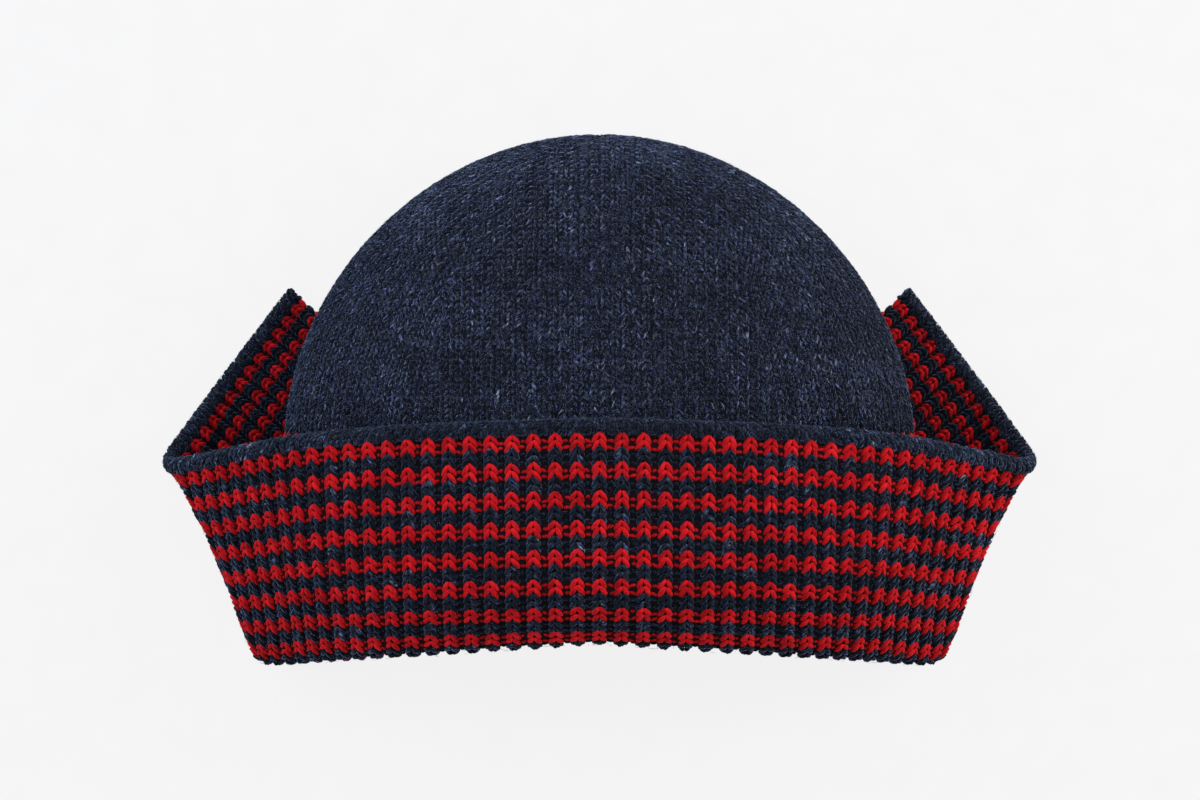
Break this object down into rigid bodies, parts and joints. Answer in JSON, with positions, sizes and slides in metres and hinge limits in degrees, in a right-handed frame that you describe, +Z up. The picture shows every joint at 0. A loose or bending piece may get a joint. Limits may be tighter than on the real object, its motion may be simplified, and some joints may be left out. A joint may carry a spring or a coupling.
{
  "type": "knitted flap hat",
  "caption": "Chunky knitted wool hat lying flat, with a plain navy crown and a deep red and navy striped rib flap turned up over its front and round its sides, finished with a rolled navy edge.",
  "frame": {"origin": "middle of the hat's footprint, on the table that it lies on", "axes": "+X across the hat, to the right as it is seen from above with the crown away from the viewer, +Y from the open mouth to the top of the crown, +Z up from the table"},
  "size_m": [0.3506, 0.2125, 0.0894],
  "materials": {
    "crown": "matte",
    "flap": "matte",
    "edge_welt": "matte"
  },
  "bodies": {
    "root": {"crown": "crown", "flap": "flap", "edge_welt": "edge_welt"}
  },
  "joints": []
}
